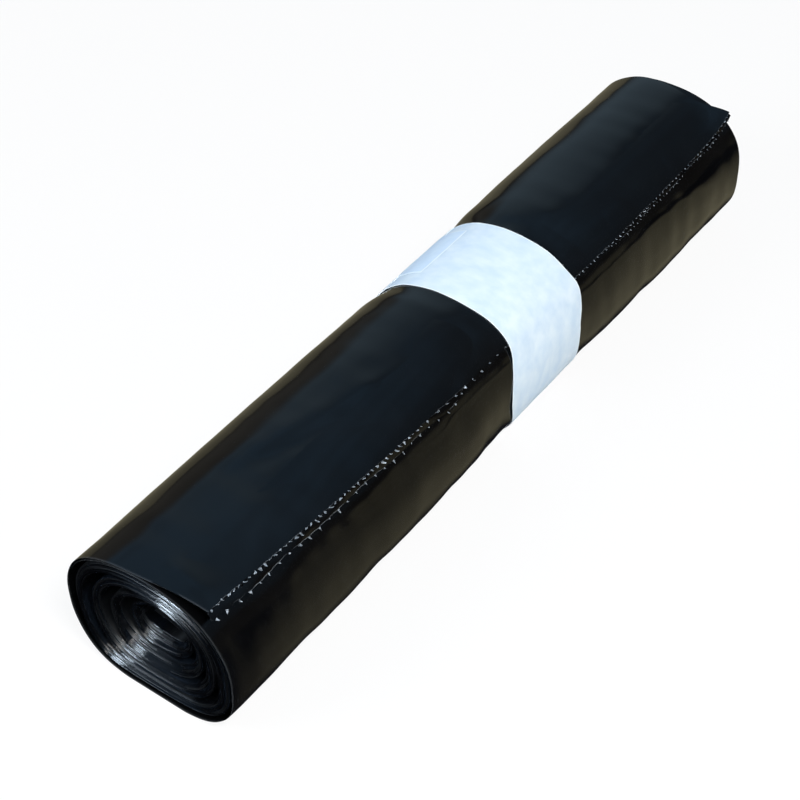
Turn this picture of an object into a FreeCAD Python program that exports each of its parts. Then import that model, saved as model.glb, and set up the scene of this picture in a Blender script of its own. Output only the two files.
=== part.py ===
import FreeCAD
import Part

import math
import os

# A roll of black bin bags as it lies on a table: one long web of folded film, wound without a
# core, held by a paper band that a patch of tape closes. The roll's axis runs along X, the
# end whose turns sink inwards faces -X, and the flat spot that it rests on is at Z = 0.
# All sizes are in millimetres and all angles in degrees.

# The web and the roll
WEB_WIDTH = 350.0  # width of the folded web, which is the length of the roll
TELESCOPE = 10.0  # how far the innermost turns have slid along the axis
ROLL_HALF_WIDTH = 37.5  # half of the width of the roll, which has sagged flat
ROLL_TOP_HEIGHT = 33.0  # from the axis up to the top of the outermost turn
ROLL_BOTTOM_HEIGHT = 30.0  # from the axis down to the bottom, which the weight presses flatter
FLAT_SPOT_DEPTH = 0.5  # how much the flat spot takes off the bottom
TOP_SQUARENESS = 2.35  # exponent of the outermost turn's outline above the axis; 2 is an ellipse
BOTTOM_SQUARENESS = 2.9  # the same below the axis
INNER_SQUARENESS = 2.0  # exponent of the innermost turn's outline
HOLLOW_HALF_WIDTH = 8.4  # half of the width of the hollow in the middle
HOLLOW_HALF_HEIGHT = 6.4  # half of its height

# The turns
FREE_EDGE_ANGLE = 140.0  # where the free edge of the outermost turn lies; 90 is the top
TURN_PITCH = 3.4  # from one turn to the next, across the roll
LAST_TURN_PITCH = 1.0  # the same under the free edge, where the web thins out
FILM_SHARE = 0.72  # share of the pitch that film fills; air fills the rest
BUNDLE_TURNS = 3.0  # the turns lie in bundles of so many, with wider gaps between
BUNDLE_SWAY = 0.32  # how far the bundles crowd together at the roll's two sides
QUARTER_TURN = 0.25  # the web is as many quarter turns long as the hollow leaves room for
ARCS_PER_TURN = 12  # each turn, and the band, is drawn as a chain of so many arcs

# The flap, which is the last part of the outermost turn and lifts off at both ends
FLAP_ROOT_ANGLE = 80.0
FLAP_ARCS = 2  # each section of the flap is drawn with so many arcs on each face
FLAP_STEPS = 12  # steps in which the flap's length is measured
AIM_STEP = 0.02  # share of the flap over which its direction is read at its root
NEAR_STATIONS = 6  # sections between the near rim and the band
FAR_STATIONS = 6  # sections between the band and the far rim
FAR_STATION_POWER = 1.8  # above 1, the stations crowd together towards the far corner
NEAR_LIFT = 0.82  # 1 is a flap that runs on straight, 0 is a flap that lies on the roll
NEAR_LIFT_POWER = 1.4  # above 1, the lift grows faster close to the rim
FAR_LIFT = 0.3
FAR_LIFT_POWER = 1.5
FAR_CORNER_LIFT = 0.35  # the far corner also curls up by itself
FAR_CORNER_POWER = 12.0

# The torn perforation along the free edge
TIE_PITCH = 5.3
TIE_WIDTH = 1.0
TIE_LENGTH = 0.9
TIE_THICKNESS = 0.3
TIE_ROOT = 0.5  # how deep each tie is rooted in the flap
TIE_AIM_STEP = 0.05  # share of the flap over which a tie's direction is read
BAND_CLEAR = 6.0  # the ties stop this far short of the band

# The end that the turns slide along: flat outside this radius, then a cone
DISH_RIM_RADIUS = 26.0
DISH_FLOOR_RADIUS = 9.0

# The paper band, its lap and the tape that closes it
BAND_FROM_NEAR_RIM = 176.0
BAND_WIDTH = 47.5
BAND_THICKNESS = 0.2
BAND_GAP = 0.08  # between the band and the film under it
BAND_SIDE_GAP = 0.5  # the place for the band under the roll is so much wider on each side
BAND_LEAN = 0.09  # sideways shift of the band for each millimetre further down
BRIDGE_SPAN = 60.0  # angle over which the band comes down past the free edge
LAP_START_ANGLE = 12.0
LAP_END_ANGLE = 40.0
TAPE_WIDTH = 32.0
TAPE_START_ANGLE = -14.0
TAPE_END_ANGLE = 63.0
TAPE_HEIGHT = 0.3  # from the single paper to the top of the tape

# Places that follow from the sizes above
AXIS_Y = -0.26  # sets the band and its tape out evenly to both sides of Y = 0
NEAR_RIM_X = -(WEB_WIDTH + TELESCOPE) / 2
FAR_RIM_X = NEAR_RIM_X + WEB_WIDTH
BAND_NEAR_X = NEAR_RIM_X + BAND_FROM_NEAR_RIM
BAND_MID_X = BAND_NEAR_X + BAND_WIDTH / 2
BOTTOM_TURNS = (FREE_EDGE_ANGLE + 90.0) / 360.0
WOUND_WIDTH = ROLL_HALF_WIDTH - HOLLOW_HALF_WIDTH
BEYOND = 60.0  # reach of the tools that only have to be larger than the roll


def half_width(turns):
    """Half width of the outline so many turns in from the free edge, before the bundles sway."""
    if turns < 1.0:
        return ROLL_HALF_WIDTH - LAST_TURN_PITCH * turns
    return ROLL_HALF_WIDTH - LAST_TURN_PITCH - TURN_PITCH * (turns - 1.0)


def film_thickness(turns):
    """Thickness of the web, which is a share of the room up to the next turn in."""
    return FILM_SHARE * (half_width(turns) - half_width(turns + 1.0))


def height_and_squareness(width, above):
    """Height from the axis and exponent of the outline that has this half width."""
    outward = (width - HOLLOW_HALF_WIDTH) / WOUND_WIDTH
    outermost = ROLL_TOP_HEIGHT if above else ROLL_BOTTOM_HEIGHT
    squarest = TOP_SQUARENESS if above else BOTTOM_SQUARENESS
    height = HOLLOW_HALF_HEIGHT + (outermost - HOLLOW_HALF_HEIGHT) * outward
    return height, INNER_SQUARENESS + (squarest - INNER_SQUARENESS) * outward


AXIS_Z = height_and_squareness(half_width(BOTTOM_TURNS), False)[0] - FLAT_SPOT_DEPTH


def outline_point(angle, width, x=0.0):
    """Point at an angle on the rounded outline of this half width."""
    across = math.cos(math.radians(angle))
    up = math.sin(math.radians(angle))
    height, squareness = height_and_squareness(width, up > 0.0)
    y = AXIS_Y + width * math.copysign(abs(across) ** (2.0 / squareness), across)
    z = height * math.copysign(abs(up) ** (2.0 / squareness), up)
    return FreeCAD.Vector(x, y, AXIS_Z + z)


def web_point(turns, depth, x=0.0):
    """Point on the web so many turns in from the free edge, at a depth under its outer face."""
    angle = FREE_EDGE_ANGLE - 360.0 * turns
    sway = BUNDLE_SWAY * math.sin(2.0 * math.pi * (turns - 1.0) / BUNDLE_TURNS)
    if turns < 1.0:
        sway = 0.0
    side = math.cos(math.radians(angle)) ** 2
    return outline_point(angle, half_width(turns) + sway * side - depth, x)


def arc_chain(first, last, count, point_at):
    """A chain of arcs through the points that point_at gives between two values."""
    step = (last - first) / count
    arcs = []
    for i in range(count):
        start = first + step * i
        arcs.append(Part.Arc(point_at(start), point_at(start + step / 2), point_at(start + step)))
    return [arc.toShape() for arc in arcs]


def closed_face(edges):
    """Flat face inside a closed chain of edges."""
    return Part.Face(Part.Wire(Part.__sortEdges__(edges)))


def slab(low_x, high_x, lean=0.0, low_z=-BEYOND, high_z=2 * BEYOND):
    """Block across the whole roll between two X places, leaning by a share of the way down."""
    top_z = AXIS_Z + ROLL_TOP_HEIGHT
    corners = []
    for x, z in ((low_x, low_z), (high_x, low_z), (high_x, high_z), (low_x, high_z)):
        corners.append(FreeCAD.Vector(x - lean * (top_z - z), -BEYOND, z))
    face = Part.Face(Part.makePolygon(corners + corners[:1]))
    return face.extrude(FreeCAD.Vector(0, 2 * BEYOND, 0))


def sliding_envelope():
    """Everything between the two ends of the web, whose inner turns have slid along the axis."""
    floor_x = NEAR_RIM_X + TELESCOPE
    profile = [
        (floor_x, 0.0),
        (floor_x, DISH_FLOOR_RADIUS),
        (NEAR_RIM_X, DISH_RIM_RADIUS),
        (NEAR_RIM_X, BEYOND),
        (FAR_RIM_X, BEYOND),
        (FAR_RIM_X, DISH_RIM_RADIUS),
        (FAR_RIM_X + TELESCOPE, DISH_FLOOR_RADIUS),
        (FAR_RIM_X + TELESCOPE, 0.0),
    ]
    corners = [FreeCAD.Vector(x, AXIS_Y, AXIS_Z + radius) for x, radius in profile]
    face = Part.Face(Part.makePolygon(corners + corners[:1]))
    return face.revolve(FreeCAD.Vector(0, AXIS_Y, AXIS_Z), FreeCAD.Vector(1, 0, 0), 360)


def wound_turns():
    """The wound web from the hollow in the middle out to the root of the flap."""
    outermost = (FREE_EDGE_ANGLE - FLAP_ROOT_ANGLE) / 360.0
    innermost = 1.0
    while half_width(innermost + QUARTER_TURN) - film_thickness(innermost) > HOLLOW_HALF_WIDTH:
        innermost += QUARTER_TURN
    count = round((innermost - outermost) * ARCS_PER_TURN)
    outer = arc_chain(outermost, innermost, count, lambda turns: web_point(turns, 0.0))
    inner = arc_chain(outermost, innermost, count, lambda turns: web_point(turns, film_thickness(turns)))
    ends = []
    for turns in (outermost, innermost):
        ends.append(Part.makeLine(web_point(turns, 0.0), web_point(turns, film_thickness(turns))))
    section = closed_face(outer + inner + ends)
    section.translate(FreeCAD.Vector(NEAR_RIM_X, 0, 0))
    return section.extrude(FreeCAD.Vector(WEB_WIDTH + TELESCOPE, 0, 0)).common(sliding_envelope())


def flap_stations():
    """Distances from the near rim at which the flap's sections are drawn, none under the band."""
    far_start = BAND_FROM_NEAR_RIM + BAND_WIDTH
    stations = [BAND_FROM_NEAR_RIM * i / NEAR_STATIONS for i in range(NEAR_STATIONS + 1)]
    for i in range(FAR_STATIONS + 1):
        along = 1.0 - (1.0 - i / FAR_STATIONS) ** FAR_STATION_POWER
        stations.append(far_start + (WEB_WIDTH - far_start) * along)
    return stations


def station_lift(station):
    """How far the flap has lifted off the roll at a station, from 0 to 1."""
    far_start = BAND_FROM_NEAR_RIM + BAND_WIDTH
    if station < BAND_FROM_NEAR_RIM:
        return NEAR_LIFT * (1.0 - station / BAND_FROM_NEAR_RIM) ** NEAR_LIFT_POWER
    along = max(0.0, (station - far_start) / (WEB_WIDTH - far_start))
    return FAR_LIFT * along**FAR_LIFT_POWER + FAR_CORNER_LIFT * along**FAR_CORNER_POWER


def flap_lift(from_near_rim):
    """The flap's lift at any distance from the near rim, blended from one station to the next."""
    stations = flap_stations()
    for low, high in zip(stations, stations[1:]):
        if from_near_rim <= high:
            share = (from_near_rim - low) / (high - low)
            return station_lift(low) * (1.0 - share) + station_lift(high) * share
    return station_lift(stations[-1])


def flap_point(share, under, from_near_rim):
    """Point on the flap: share of the way from root to free edge, on its face or under it."""
    x = NEAR_RIM_X + from_near_rim
    span = (FREE_EDGE_ANGLE - FLAP_ROOT_ANGLE) / 360.0
    along = [span * (1.0 - share * i / FLAP_STEPS) for i in range(FLAP_STEPS + 1)]
    outer_face = [web_point(turns, 0.0, x) for turns in along]
    length = sum(here.distanceToPoint(before) for here, before in zip(outer_face[1:], outer_face))
    ahead = web_point(span * (1.0 - AIM_STEP), 0.0, x).sub(outer_face[0]).normalize()
    thickness = film_thickness(along[-1])
    on_roll = web_point(along[-1], thickness if under else 0.0, x)
    straight = outer_face[0] + ahead * length
    if under:
        root_thickness = film_thickness(span)
        through = web_point(span, root_thickness, x).sub(outer_face[0])
        straight = straight + through * (thickness / root_thickness)
    lift = flap_lift(from_near_rim)
    return on_roll * (1.0 - lift) + straight * lift


def flap_section(from_near_rim):
    """Closed outline of the flap at one distance from the near rim."""
    face_side = arc_chain(0.0, 1.0, FLAP_ARCS, lambda share: flap_point(share, False, from_near_rim))
    under_side = arc_chain(1.0, 0.0, FLAP_ARCS, lambda share: flap_point(share, True, from_near_rim))
    ends = []
    for share in (0.0, 1.0):
        corners = [flap_point(share, under, from_near_rim) for under in (False, True)]
        ends.append(Part.makeLine(*corners))
    return Part.Wire(face_side + ends[1:] + under_side + ends[:1])


def flap():
    """The last part of the outermost turn, held down by the band and sprung up at both ends."""
    return Part.makeLoft([flap_section(station) for station in flap_stations()], True, True)


def torn_ties():
    """The stubs of film left where the perforation tore, one every pitch along the free edge."""
    count = int((WEB_WIDTH - TIE_PITCH) / TIE_PITCH)
    start = (WEB_WIDTH - count * TIE_PITCH) / 2
    places = [start + i * TIE_PITCH for i in range(count + 1)]
    under_band = (BAND_FROM_NEAR_RIM - BAND_CLEAR, BAND_FROM_NEAR_RIM + BAND_WIDTH + BAND_CLEAR)
    ties = []
    for place in [p for p in places if not under_band[0] < p < under_band[1]]:
        upper = flap_point(1.0, False, place)
        middle = (upper + flap_point(1.0, True, place)) * 0.5
        ahead = upper.sub(flap_point(1.0 - TIE_AIM_STEP, False, place)).normalize()
        across = FreeCAD.Vector(TIE_WIDTH, 0, 0)
        through = FreeCAD.Vector(1, 0, 0).cross(ahead) * TIE_THICKNESS
        corner = middle - ahead * TIE_ROOT - across * 0.5 - through * 0.5
        corners = [corner, corner + across, corner + across + through, corner + through, corner]
        ties.append(Part.Face(Part.makePolygon(corners)).extrude(ahead * (TIE_ROOT + TIE_LENGTH)))
    return ties


def band_loop(gap):
    """Closed face inside the band's line, which follows the roll and bridges the free edge."""

    def at(turn):
        past_edge = 360.0 * turn
        bridge = max(0.0, 1.0 - past_edge / BRIDGE_SPAN)
        eased = bridge * bridge * (3.0 - 2.0 * bridge)
        width = half_width(1.0 - turn) + LAST_TURN_PITCH * eased
        return outline_point(FREE_EDGE_ANGLE + past_edge, width + gap)

    return closed_face(arc_chain(0.0, 1.0, ARCS_PER_TURN, at))


def loop_block(gap, low_z):
    """The space inside the band's line, grown by a gap, as long as the roll and flat underneath."""
    block = band_loop(gap)
    block.translate(FreeCAD.Vector(NEAR_RIM_X, 0, 0))
    block = block.extrude(FreeCAD.Vector(WEB_WIDTH, 0, 0))
    return block.common(slab(NEAR_RIM_X, FAR_RIM_X, low_z=low_z))


def band_slab(width):
    """Leaning block that cuts out a width of the band, centred on it."""
    return slab(BAND_MID_X - width / 2, BAND_MID_X + width / 2, lean=BAND_LEAN)


def wedge(start, finish):
    """Wedge round the roll's axis between two angles, as long as the roll."""
    reach = 2 * BEYOND
    centre = FreeCAD.Vector(NEAR_RIM_X, AXIS_Y, AXIS_Z)
    middle = (start + finish) / 2
    corners = [centre]
    for angle in (start, middle, finish):
        turn = math.radians(angle)
        corners.append(centre + FreeCAD.Vector(0, reach * math.cos(turn), reach * math.sin(turn)))
    face = Part.Face(Part.makePolygon(corners + corners[:1]))
    return face.extrude(FreeCAD.Vector(WEB_WIDTH, 0, 0))


def bag_roll():
    """The whole web as one piece: its turns, its flap and its torn edge, with the band's place below."""
    roll = wound_turns().fuse([flap()] + torn_ties())
    roll = roll.common(slab(NEAR_RIM_X - BEYOND, FAR_RIM_X + BEYOND, low_z=0.0))
    under_band = band_slab(BAND_WIDTH + 2 * BAND_SIDE_GAP)
    under_band = under_band.common(slab(NEAR_RIM_X, FAR_RIM_X, high_z=BAND_THICKNESS + BAND_GAP))
    return roll.cut(under_band).removeSplitter()


def paper_band():
    """The paper strip round the roll, with the lap where its outer end lies on its inner end."""
    inside = loop_block(BAND_GAP, BAND_THICKNESS)
    single = loop_block(BAND_GAP + BAND_THICKNESS, 0.0)
    double = loop_block(BAND_GAP + 2 * BAND_THICKNESS, 0.0).common(wedge(LAP_START_ANGLE, LAP_END_ANGLE))
    ring = single.fuse(double).cut(inside)
    return ring.common(band_slab(BAND_WIDTH)).removeSplitter()


def seam_tape(band):
    """The patch of tape that covers the lap and holds the band closed."""
    patch = loop_block(BAND_GAP + BAND_THICKNESS + TAPE_HEIGHT, 0.0)
    patch = patch.cut(loop_block(BAND_GAP + BAND_THICKNESS, 0.0))
    patch = patch.common(wedge(TAPE_START_ANGLE, TAPE_END_ANGLE)).common(band_slab(TAPE_WIDTH))
    return patch.cut(band).removeSplitter()


def main():
    """Builds the three pieces and writes each one to its own file."""
    os.makedirs("parts", exist_ok=True)
    band = paper_band()
    pieces = {"bag_roll": bag_roll(), "paper_band": band, "seam_tape": seam_tape(band)}
    for name, shape in pieces.items():
        box = shape.BoundBox
        print(
            f"{name}: {len(shape.Solids)} solid, valid {shape.isValid()}, {len(shape.Faces)} faces, "
            f"{shape.Volume / 1000:.2f} cm3, x {box.XMin:.2f} to {box.XMax:.2f}, "
            f"y {box.YMin:.2f} to {box.YMax:.2f}, z {box.ZMin:.2f} to {box.ZMax:.2f}"
        )
        shape.exportStep(f"parts/{name}.step")


main()
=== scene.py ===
"""Dresses a coreless roll of black bin bags that a paper band holds together.

Lengths are in metres and angles in degrees, unless a docstring says otherwise. The roll's axis
runs along X, its free edge lies on the -Y side, and it rests on Z = 0.
"""

import logging
import math
from collections.abc import Sequence
from dataclasses import dataclass
from enum import Enum

import bpy
import numpy as np
from mathutils import Matrix, Vector


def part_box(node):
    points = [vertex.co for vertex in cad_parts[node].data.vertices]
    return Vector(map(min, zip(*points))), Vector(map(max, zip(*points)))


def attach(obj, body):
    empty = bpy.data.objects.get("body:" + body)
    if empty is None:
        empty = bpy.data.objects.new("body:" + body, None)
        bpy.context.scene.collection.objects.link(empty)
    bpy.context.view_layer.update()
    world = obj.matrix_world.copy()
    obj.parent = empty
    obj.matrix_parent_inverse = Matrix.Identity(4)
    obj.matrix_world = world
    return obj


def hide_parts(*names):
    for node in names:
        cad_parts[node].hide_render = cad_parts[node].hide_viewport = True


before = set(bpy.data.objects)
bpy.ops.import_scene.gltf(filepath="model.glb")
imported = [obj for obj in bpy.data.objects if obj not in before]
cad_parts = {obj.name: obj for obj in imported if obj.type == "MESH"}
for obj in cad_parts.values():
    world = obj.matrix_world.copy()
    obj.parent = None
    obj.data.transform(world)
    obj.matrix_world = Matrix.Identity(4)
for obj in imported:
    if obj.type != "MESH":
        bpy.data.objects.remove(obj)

Array = np.ndarray
EdgeLine = tuple[Array, Array, Array]
Colour = tuple[float, float, float, float]
Material = bpy.types.Material
Mesh = bpy.types.Mesh
Socket = bpy.types.NodeSocket

MM = 0.001
LOG = logging.getLogger("bag_roll")
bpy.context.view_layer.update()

NODE_ROLL = "bag_roll"
NODE_BAND = "paper_band"
NODE_TAPE = "seam_tape"
ROLL_LOW, ROLL_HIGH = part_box(NODE_ROLL)


class Slot(Enum):
    """The record's material slots."""

    FILM = "film"
    PAPER = "paper"
    TAPE = "tape"


# Numbers and small curves


def smooth_step(low: float, high: float, value: Array) -> Array:
    """Eases from 0 to 1 between two values.

    Args:
        low: where the step starts.
        high: where it ends.
        value: where it is read.

    Returns:
        The eased values.
    """
    share = np.clip((value - low) / (high - low), 0.0, 1.0)
    return share * share * (3.0 - 2.0 * share)


def signed_power(value: Array, power: Array) -> Array:
    """Raises the size of a number to a power and keeps its sign."""
    return np.sign(value) * np.abs(value) ** power


class SoftNoise:
    """Smooth noise over two coordinates, made of a few random waves.

    Args:
        seed: fixes the waves.
        wavelengths: lengths along the first and the second coordinate.
        waves: how many waves are added up.
    """

    def __init__(self, seed: int, wavelengths: tuple[float, float], waves: int = 14) -> None:
        draw = np.random.default_rng(seed)
        turns = draw.uniform(0.0, 2.0 * math.pi, waves)
        reach = draw.uniform(0.55, 1.6, waves)
        self.across = np.cos(turns) * reach * 2.0 * math.pi / wavelengths[0]
        self.along = np.sin(turns) * reach * 2.0 * math.pi / wavelengths[1]
        self.phase = draw.uniform(0.0, 2.0 * math.pi, waves)
        self.level = 1.0 / math.sqrt(waves / 2.0)

    def at(self, first: Array, second: Array) -> Array:
        """Reads the noise, which stays mostly between -1.5 and 1.5."""
        total = np.zeros(np.broadcast(first, second).shape)
        for across, along, phase in zip(self.across, self.along, self.phase):
            total += np.sin(first * across + second * along + phase)
        return total * self.level


def sway(seed: int, wavelength: float, x: Array) -> Array:
    """Smooth noise along X alone."""
    return SoftNoise(seed, (wavelength, 1.0)).at(x, np.zeros_like(x))


def bell(aside: Array, reach: float) -> Array:
    """A smooth bump that is 1 at 0 and nearly 0 at twice its reach."""
    return np.exp(-((aside / reach) ** 2))


# The roll's form, which the film and the band share


@dataclass(frozen=True)
class RollForm:
    """Outline of the wound web and the way its turns follow each other."""

    half_width: float = 37.5 * MM
    top_height: float = 33.0 * MM
    bottom_height: float = 30.0 * MM
    flat_spot: float = 0.5 * MM
    top_squareness: float = 2.35
    bottom_squareness: float = 2.9
    inner_squareness: float = 2.0
    hollow_half_width: float = 8.4 * MM
    hollow_half_height: float = 6.4 * MM
    last_pitch: float = 1.0 * MM
    fine_pitch: float = 0.55 * MM
    turns_to_table: float = 0.64
    free_edge_angle: float = 140.0
    telescope: float = 10.0 * MM
    dent_share: float = 0.042
    dent_angle: float = -26.0
    dent_power: float = 10.0
    axis_y: float = -0.26 * MM
    near_rim: float = ROLL_LOW[0]

    @property
    def far_rim(self) -> float:
        """Where the outer turns end, short of the turns that have slid out."""
        return ROLL_HIGH[0] - self.telescope

    @property
    def web_width(self) -> float:
        """Width of the folded web."""
        return self.far_rim - self.near_rim

    @property
    def axis_z(self) -> float:
        """Height of the roll's axis over the flat spot."""
        bottom_turns = (self.free_edge_angle + 90.0) / 360.0
        width = self.half_width - self.last_pitch * bottom_turns
        return float(self.height(np.array(width), np.array(-1.0))) - self.flat_spot

    def outward(self, width: Array) -> Array:
        """Share of the way from the hollow to the outermost turn."""
        return (width - self.hollow_half_width) / (self.half_width - self.hollow_half_width)

    def height(self, width: Array, up: Array) -> Array:
        """Height from the axis of the outline of a half width, above or below the axis."""
        outermost = np.where(up > 0.0, self.top_height, self.bottom_height)
        return self.hollow_half_height + (outermost - self.hollow_half_height) * self.outward(width)

    def outline(self, angle: Array, width: Array) -> tuple[Array, Array]:
        """Places points on the outline that has a half width.

        Args:
            angle: 0 is +Y and 90 is up.
            width: half width of the outline.

        Returns:
            The points' Y and Z.
        """
        across = np.cos(np.radians(angle))
        up = np.sin(np.radians(angle))
        facing_dent = np.maximum(np.cos(np.radians(angle - self.dent_angle)), 0.0)
        pressed = 1.0 - self.dent_share * facing_dent**self.dent_power
        squarest = np.where(up > 0.0, self.top_squareness, self.bottom_squareness)
        squareness = self.inner_squareness + (squarest - self.inner_squareness) * self.outward(width)
        y = self.axis_y + width * pressed * signed_power(across, 2.0 / squareness)
        z = self.axis_z + self.height(width, up) * pressed * signed_power(up, 2.0 / squareness)
        return y, z

    def web_width_at(self, turns: Array) -> Array:
        """Half width of the outer face of the web so many turns in from the free edge."""
        inside = np.maximum(turns - 1.0, 0.0)
        last = self.last_pitch * np.minimum(turns, 1.0)
        return self.half_width - last - self.fine_pitch * inside

    def web(self, turns: Array) -> tuple[Array, Array]:
        """Y and Z on the outer face of the web so many turns in from the free edge."""
        angle = self.free_edge_angle - 360.0 * turns
        y, z = self.outline(angle, self.web_width_at(turns))
        at_table = self.half_width - self.last_pitch * self.turns_to_table
        inset = at_table - self.web_width_at(turns)
        return y, np.maximum(z, np.maximum(inset, 0.0))


@dataclass(frozen=True)
class BandPlace:
    """Where the paper band lies on the roll, and how tightly it holds the film."""

    width: float = 47.5 * MM
    from_near_rim: float = 176.0 * MM
    lean: float = 0.09
    gap: float = 0.08 * MM
    thickness: float = 0.2 * MM
    bridge_span: float = 20.0
    tight_depth: float = 1.5 * MM
    tight_reach: float = 8.0 * MM
    slack_reach: float = 21.0 * MM
    slack_y: tuple[float, float] = (-28.0 * MM, 8.0 * MM)
    wide_depth: float = 0.4 * MM
    wide_reach: float = 50.0 * MM

    def middle(self, form: RollForm) -> float:
        """X of the band's centre line at the top of the roll."""
        return form.near_rim + self.from_near_rim + self.width / 2.0

    def squeeze(self, form: RollForm, points: Array) -> Array:
        """Draws points in towards the axis where the band holds the roll tight.

        Args:
            form: the roll.
            points: points on the roll, with X, Y and Z along their last axis.

        Returns:
            The moved points. What lies under the axis keeps its height, because the roll rests on
            the table.
        """
        x, y, z = points[..., 0], points[..., 1], points[..., 2]
        aside = np.abs(x - self.middle(form) - self.shift(form, z)) - self.width / 2.0
        aside = np.maximum(aside, 0.0)
        slack = 1.0 - smooth_step(*self.slack_y, y)
        reach = self.tight_reach + (self.slack_reach - self.tight_reach) * slack
        depth = self.tight_depth * bell(aside, reach) + self.wide_depth * bell(aside, self.wide_reach)
        share = 1.0 - depth / form.half_width
        lower = z - form.axis_z
        y = form.axis_y + (y - form.axis_y) * share
        z = form.axis_z + np.where(lower > 0.0, lower * share, lower)
        return np.stack([x, y, z], axis=-1)

    def line(self, form: RollForm, angle: Array, rise: Array) -> tuple[Array, Array]:
        """Follows the roll round, and bridges the step at the free edge.

        Args:
            form: the roll.
            angle: 0 is +Y and 90 is up, and may pass 360.
            rise: height over the film.

        Returns:
            Y and Z of the line.
        """
        past_edge = np.mod(angle - form.free_edge_angle, 360.0)
        bridge = smooth_step(0.0, 1.0, 1.0 - past_edge / self.bridge_span)
        turns = 1.0 - past_edge / 360.0
        width = form.half_width - form.last_pitch * turns + form.last_pitch * bridge
        return form.outline(angle, width + self.gap + rise)

    def shift(self, form: RollForm, z: Array) -> Array:
        """How far the band has slipped towards the near end at a height."""
        return -self.lean * (form.axis_z + form.top_height - z)


# Meshes


def quads_between(first: Array, second: Array) -> list[tuple[int, int, int, int]]:
    """Quads between two rows of vertex numbers that run the same way."""
    return list(zip(first[:-1], first[1:], second[1:], second[:-1]))


def shell_mesh(name: str, outer: Array, inner: Array, uv: Array) -> Mesh:
    """Makes a closed sheet with an outer and an inner face and its four edges.

    Args:
        name: the mesh's name.
        outer: rows by columns by 3 points of the outer face, with rows that run towards smaller
            angles round the roll and columns that run along X.
        inner: the same for the inner face.
        uv: rows by columns by 2 lengths on the sheet, in metres.

    Returns:
        The mesh, shaded smooth with sharp borders.
    """
    rows, columns = outer.shape[:2]
    numbers = np.arange(rows * columns).reshape(rows, columns)
    back = numbers + rows * columns
    corners = [numbers[:-1, :-1], numbers[:-1, 1:], numbers[1:, 1:], numbers[1:, :-1]]
    corners = np.stack(corners, axis=-1)
    faces = [corners.reshape(-1, 4), (corners + rows * columns)[..., ::-1].reshape(-1, 4)]
    border = quads_between(back[0], numbers[0]) + quads_between(numbers[-1], back[-1])
    border += quads_between(numbers[:, 0], back[:, 0]) + quads_between(back[:, -1], numbers[:, -1])
    faces.append(np.array(border))
    all_faces = np.concatenate(faces).astype(np.int32)
    points = np.concatenate([outer.reshape(-1, 3), inner.reshape(-1, 3)])
    mesh = bpy.data.meshes.new(name)
    mesh.vertices.add(len(points))
    mesh.vertices.foreach_set("co", points.astype(np.float32).ravel())
    mesh.loops.add(all_faces.size)
    mesh.loops.foreach_set("vertex_index", all_faces.ravel())
    mesh.polygons.add(len(all_faces))
    mesh.polygons.foreach_set("loop_start", np.arange(0, all_faces.size, 4, dtype=np.int32))
    mesh.update(calc_edges=True)
    layer = mesh.uv_layers.new(name="Lay")
    both = np.concatenate([uv.reshape(-1, 2), uv.reshape(-1, 2)])
    layer.data.foreach_set("uv", both[all_faces.ravel()].astype(np.float32).ravel())
    shade(mesh)
    return mesh


def shade(mesh: Mesh, angle: float = 40.0) -> None:
    """Shades the mesh smooth, with sharp edges where its faces meet at more than an angle."""
    mesh.polygons.foreach_set("use_smooth", np.ones(len(mesh.polygons), dtype=bool))
    mesh.set_sharp_from_angle(angle=math.radians(angle))


def store(mesh: Mesh, name: str, values: Array, faces: int = 1) -> None:
    """Keeps one number for each vertex under a name that materials read.

    Args:
        mesh: the mesh.
        name: the name.
        values: the numbers.
        faces: how many faces of a sheet repeat them.
    """
    layer = mesh.attributes.new(name, "FLOAT", "POINT")
    layer.data.foreach_set("value", np.tile(values.ravel(), faces).astype(np.float32))


def new_piece(name: str, mesh: Mesh, material: Material) -> bpy.types.Object:
    """Adds a piece to the scene, gives it its finish and lets it ride on the roll's body.

    Args:
        name: the piece's name.
        mesh: its mesh, already in place.
        material: its finish.

    Returns:
        The new object.
    """
    piece = bpy.data.objects.new(name, mesh)
    bpy.context.scene.collection.objects.link(piece)
    mesh.materials.clear()
    mesh.materials.append(material)
    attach(piece, "root")
    LOG.info("%s: %d faces", name, len(mesh.polygons))
    return piece


def along_normals(points: Array, distance: Array | float) -> Array:
    """Moves a grid of points along its own normals, which point away from the roll's axis.

    Args:
        points: rows by columns by 3, laid as in shell_mesh.
        distance: how far they move, or how far each of them does.

    Returns:
        The moved points.
    """
    down = np.gradient(points, axis=0)
    along = np.gradient(points, axis=1)
    normal = np.cross(along, down)
    normal /= np.maximum(np.linalg.norm(normal, axis=-1, keepdims=True), 1e-12)
    return points + normal * np.asarray(distance)[..., None]


# Node trees


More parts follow.
